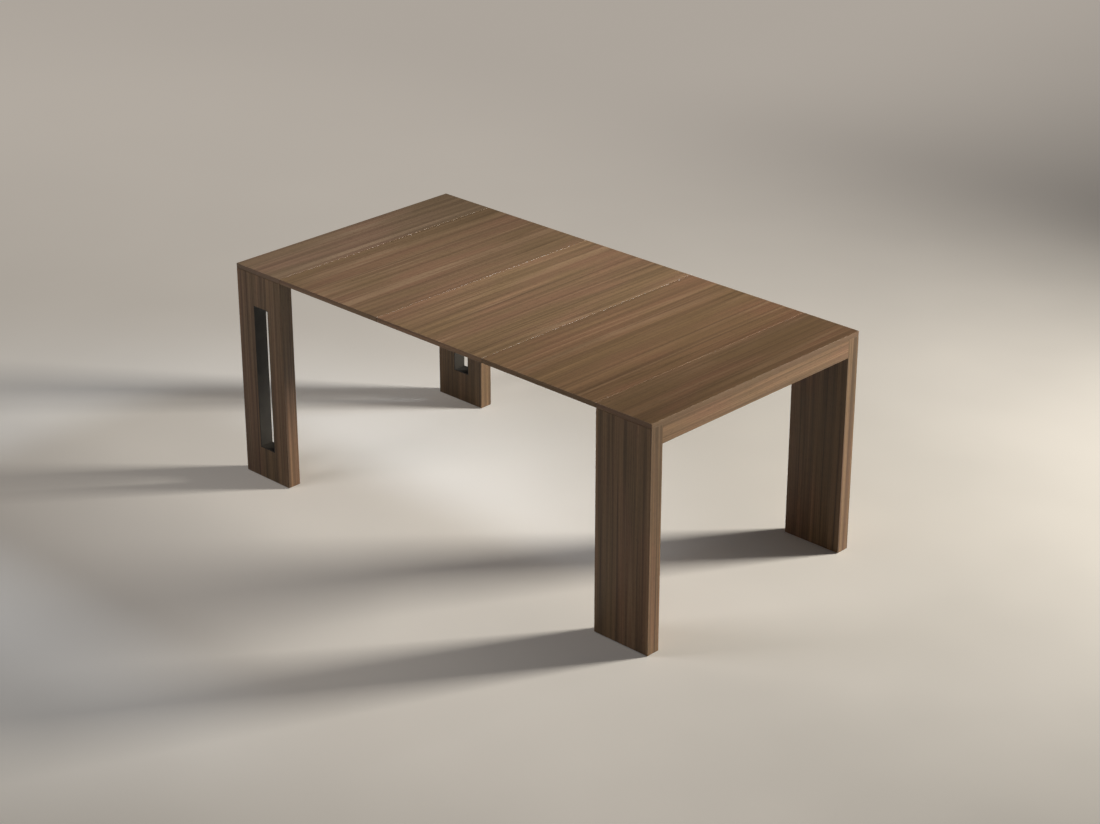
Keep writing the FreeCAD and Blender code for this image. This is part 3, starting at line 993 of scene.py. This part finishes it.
@dataclass
class ShoulderScrew(Fastener):
    """Flat-headed shoulder screw with a hexagon socket, on which a catch turns."""

    name: str = "shoulder_screw"
    head_radius: float = 6.0 * MM
    head_height: float = 2.5 * MM
    recess_span: float = 4.6 * MM
    recess_depth: float = 1.6 * MM
    dome_share: float = 0.3
    dome_power: float = 10.0
    socket_sides: int = 6
    shoulder_radius: float = 3.0 * MM
    shoulder_length: float = 3.3 * MM
    shank_radius: float = 2.0 * MM
    shank_sides: int = 24

    def sizes(self, reach: float) -> dict[str, float]:
        """Give the named sizes that the tree takes, with those of the shoulder and shank.

        Args:
            reach: how far the screw drives from its seat.

        Returns:
            Each size by its name.
        """
        return {
            **super().sizes(reach),
            "Shoulder Radius": self.shoulder_radius,
            "Shoulder Length": self.shoulder_length,
            "Shank Radius": self.shank_radius,
        }

    def recess(self, tree: NodeTree, given: Node) -> list[NodeSocket]:
        """Draw the hexagon that is cut from the head, about the head's top.

        Args:
            tree: the fastener's tree.
            given: the tree's inputs.

        Returns:
            The socket that carries the hexagon, in a list.
        """
        size = given.outputs
        radius = add(tree, "ShaderNodeMath", {"operation": "DIVIDE"}, {0: size["Recess Span"], 1: 2.0})
        tall = add(tree, "ShaderNodeMath", {"operation": "MULTIPLY"}, {0: size["Recess Depth"], 1: 2.0})
        hexagon = add(tree, "GeometryNodeMeshCylinder", {}, {
            "Vertices": self.socket_sides, "Radius": radius.outputs["Value"],
            "Depth": tall.outputs["Value"],
        })
        return [hexagon.outputs["Mesh"]]

    def stem(self, tree: NodeTree, given: Node) -> list[NodeSocket]:
        """Draw the plain shoulder, and the shank that runs from the head to the tip inside it.

        Args:
            tree: the fastener's tree.
            given: the tree's inputs.

        Returns:
            The sockets that carry the shoulder and the shank.
        """
        size = given.outputs
        stems = []
        for radius, length in (("Shoulder Radius", "Shoulder Length"), ("Shank Radius", "Reach")):
            rod = add(tree, "GeometryNodeMeshCylinder", {}, {
                "Vertices": self.shank_sides, "Radius": size[radius], "Depth": size[length],
            })
            stems.append(self.raised(tree, rod.outputs["Mesh"], size[length], -0.5))
        return stems


# Sub-assemblies


@dataclass
class Finishes:
    """The materials that pieces share."""

    aluminium: Material
    steel: Material
    liner: Material
    nylon: Material


@dataclass
class EndFrame:
    """End frame: top board, two legs and a rail, with its brackets, screws and glides."""

    body: str
    name: str
    nodes: dict[str, Object]
    finishes: Finishes
    sheets: dict[str, Sheet]
    veneer: WalnutVeneer = field(default_factory=WalnutVeneer)
    screw: PanHeadScrew = field(default_factory=PanHeadScrew)
    catch_pin: ShoulderScrew = field(default_factory=ShoulderScrew)

    def build(self) -> None:
        """Dress the frame's nodes and stand its detailed screws in."""
        self.dress_wood()
        for part in ("leg_angles", "rail_angles", "runner_angles"):
            dress(self.nodes[f"{self.name}_{part}"], self.finishes.steel)
        for part in ("glides", "end_caps"):
            dress(self.nodes[f"{self.name}_{part}"], self.finishes.nylon)
        dress(self.nodes[f"{self.name}_runner_bars"], self.finishes.aluminium)
        for part, fastener in (("screws", self.screw), ("catch_pins", self.catch_pin)):
            fastener.piece(self.nodes[f"{self.name}_{part}"], self.body, "steel", self.finishes.steel)

    def dress_wood(self) -> None:
        """Dress the board, rail and legs in veneer, each with its own streaks."""
        grains = {
            "top_board": Axis.WIDTH,
            "end_rail": Axis.WIDTH,
            "near_leg": Axis.HEIGHT,
            "far_leg": Axis.HEIGHT,
        }
        for part, grain in grains.items():
            finish = self.veneer.material(f"walnut_veneer_{self.name}_{part}", grain, self.sheets[part])
            dress(self.nodes[f"{self.name}_{part}"], finish)


@dataclass
class FixedFrame(EndFrame):
    """End frame that stays in place, with hooks for the next leaf."""

    def build(self) -> None:
        """Dress the frame's nodes and its hooks."""
        super().build()
        for part in ("near_hook", "far_hook"):
            dress(self.nodes[f"{self.name}_{part}"], self.finishes.steel)


@dataclass
class SlottedFrame(EndFrame):
    """End frame that pulls out, with lined slots in its legs and sliders on its bars."""

    def build(self) -> None:
        """Dress the frame's nodes, its liners and its sliders."""
        super().build()
        for part in ("near_slot_liner", "far_slot_liner"):
            dress(self.nodes[part], self.finishes.liner)
        dress(self.nodes[f"{self.name}_sliders"], self.finishes.nylon)


@dataclass
class Leaf:
    """Loose leaf with its catch pins and hooks."""

    number: int
    nodes: dict[str, Object]
    finishes: Finishes
    sheet: Sheet
    veneer: WalnutVeneer = field(default_factory=WalnutVeneer)
    catch_pin: ShoulderScrew = field(default_factory=ShoulderScrew)

    def build(self) -> None:
        """Dress the leaf and its hooks and stand its detailed pins in."""
        name = f"leaf_{self.number}"
        finish = self.veneer.material(f"walnut_veneer_{name}", Axis.WIDTH, self.sheet)
        dress(self.nodes[f"{name}_board"], finish)
        for part in ("near_hook", "far_hook"):
            dress(self.nodes[f"{name}_{part}"], self.finishes.steel)
        self.catch_pin.piece(self.nodes[f"{name}_catch_pins"], name, "steel", self.finishes.steel)


@dataclass
class RunnerStage:
    """Pair of telescopic bars between the two frames, with sliders and end caps."""

    number: int
    nodes: dict[str, Object]
    finishes: Finishes

    def build(self) -> None:
        """Dress the bars, sliders and caps."""
        name = f"stage_{self.number}"
        dress(self.nodes[f"{name}_bars"], self.finishes.aluminium)
        dress(self.nodes[f"{name}_sliders"], self.finishes.nylon)
        dress(self.nodes[f"{name}_end_caps"], self.finishes.nylon)


# Seeds of the boards were tried out so that few pale lines lie on a seam.
# Rails and legs have a bolder figure than boards.
BOLD_FIGURE = 2.3
FIXED_SHEETS = {
    "top_board": Sheet(4.12, tone=0.92, warmth=0.97),
    "end_rail": Sheet(6.3, tone=1.06, figure=BOLD_FIGURE),
    "near_leg": Sheet(8.6, figure=BOLD_FIGURE),
    "far_leg": Sheet(10.9, figure=BOLD_FIGURE),
}
MOVING_SHEETS = {
    "top_board": Sheet(21.03, tone=1.03, warmth=0.86),
    "end_rail": Sheet(23.3, figure=BOLD_FIGURE),
    "near_leg": Sheet(25.6, figure=BOLD_FIGURE),
    "far_leg": Sheet(27.9, figure=BOLD_FIGURE),
}
LEAF_SHEETS = (
    Sheet(33.0, tone=0.95, warmth=0.96),
    Sheet(47.0, tone=1.06, warmth=0.97, figure=1.35),
    Sheet(58.12, tone=1.05, figure=1.1),
)
STAGE_COUNT = 6


# Floor, light and camera


@dataclass(frozen=True)
class Lamp:
    """Square soft lamp that faces a point: its power is in watts, its spread the angle it shines over."""

    name: str
    place: tuple[float, float, float]
    aim: tuple[float, float, float]
    size: float
    power: float
    spread: float
    tint: str

    def hang(self) -> None:
        """Hang the lamp, out of the camera's sight."""
        lamp = bpy.data.lights.new(self.name, "AREA")
        lamp.shape = "SQUARE"
        lamp.size = self.size
        lamp.energy = self.power
        lamp.spread = self.spread
        lamp.color = colour(self.tint)[:3]
        holder = bpy.data.objects.new(self.name, lamp)
        holder.location = self.place
        holder.rotation_euler = (Vector(self.place) - Vector(self.aim)).to_track_quat("Z", "Y").to_euler()
        holder.visible_camera = False
        bpy.context.scene.collection.objects.link(holder)


@dataclass
class Studio:
    """Pale floor, a low soft lamp at the far right, a small one above the far side and weak front fill."""

    floor_size: float = 60.0
    floor_drop: float = 0.2 * MM
    key: Lamp = Lamp(
        "key_lamp", place=(3.6, 4.2, 2.6), aim=(0.35, 0.15, 0.9),
        size=1.0, power=93.0, spread=math.radians(84), tint="#fff2de",
    )
    top: Lamp = Lamp(
        "top_lamp", place=(1.08, 2.17, 2.69), aim=(-0.6, -0.47, 0.75),
        size=0.6, power=5.5, spread=math.radians(45), tint="#fbfeff",
    )
    front: Lamp = Lamp(
        "front_lamp", place=(-1.2, -2.3, 2.6), aim=(0.1, -0.2, 1.2),
        size=1.2, power=8.2, spread=math.radians(90), tint="#fff3e7",
    )
    fill_colour: str = "#f3efea"
    fill_strength: float = 0.03

    def build(self, paint: Material) -> None:
        """Lay the floor and set the lamps and the fill.

        Args:
            paint: the floor's finish.
        """
        self.lay_floor(paint)
        for lamp in (self.key, self.top, self.front):
            lamp.hang()
        self.fill_room()

    def lay_floor(self, paint: Material) -> None:
        """Lay a wide plain floor just under the glides.

        Args:
            paint: the floor's finish.
        """
        half = self.floor_size / 2
        corners = [(-half, -half), (half, -half), (half, half), (-half, half)]
        mesh = bpy.data.meshes.new("floor")
        mesh.from_pydata([(x, y, -self.floor_drop) for x, y in corners], [], [(0, 1, 2, 3)])
        mesh.materials.append(paint)
        floor = bpy.data.objects.new("floor", mesh)
        bpy.context.scene.collection.objects.link(floor)

    def fill_room(self) -> None:
        """Fill the room with even light."""
        world = bpy.data.worlds.new("studio")
        world.use_nodes = True
        background = world.node_tree.nodes["Background"]
        background.inputs["Color"].default_value = colour(self.fill_colour)
        background.inputs["Strength"].default_value = self.fill_strength
        bpy.context.scene.world = world


@dataclass
class PhotoCamera:
    """Camera at the photograph's angle, for a picture 1100 pixels wide."""

    turn: float = math.radians(43.95)
    lift: float = math.radians(24.41)
    side: float = 40.35 * MM
    rise: float = 315.17 * MM
    distance: float = 8119.08 * MM
    far_clip: float = 200.0
    focal_pixels: float = 2467.8
    picture_width: float = 1100.0
    sensor_width: float = 36.0

    def build(self) -> None:
        """Set the camera up."""
        back = Vector((
            math.sin(self.turn) * math.cos(self.lift),
            -math.cos(self.turn) * math.cos(self.lift),
            math.sin(self.lift),
        ))
        right = Axis.HEIGHT.unit.cross(back).normalized()
        up = back.cross(right)
        camera = bpy.data.cameras.new("camera")
        camera.sensor_fit = "HORIZONTAL"
        camera.sensor_width = self.sensor_width
        camera.lens = self.focal_pixels * self.sensor_width / self.picture_width
        camera.clip_end = self.far_clip
        holder = bpy.data.objects.new("camera", camera)
        turned = Matrix((right, up, back)).transposed().to_4x4()
        turned.translation = right * self.side + up * self.rise + back * self.distance
        holder.matrix_world = turned
        bpy.context.scene.collection.objects.link(holder)
        bpy.context.scene.camera = holder


def main() -> None:
    """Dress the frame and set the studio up."""
    logging.basicConfig(level=logging.INFO, format="%(name)s: %(message)s")
    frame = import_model()
    nodes = frame["nodes"]
    finishes = Finishes(
        aluminium=AnodisedAluminium().material("anodised_aluminium"),
        steel=ZincPlatedSteel().material("zinc_plated_steel"),
        liner=CharcoalPowderCoat().material("charcoal_powder_coat"),
        nylon=BlackNylon().material("black_nylon"),
    )
    FixedFrame("fixed_frame", "fixed", nodes, finishes, FIXED_SHEETS).build()
    SlottedFrame("moving_frame", "moving", nodes, finishes, MOVING_SHEETS).build()
    for number, sheet in enumerate(LEAF_SHEETS, 1):
        Leaf(number, nodes, finishes, sheet).build()
    for number in range(1, STAGE_COUNT + 1):
        RunnerStage(number, nodes, finishes).build()
    Studio().build(StudioPaint().material("studio_paint"))
    PhotoCamera().build()
    bpy.context.scene.view_settings.view_transform = "Standard"


if __name__ == "__main__":
    main()
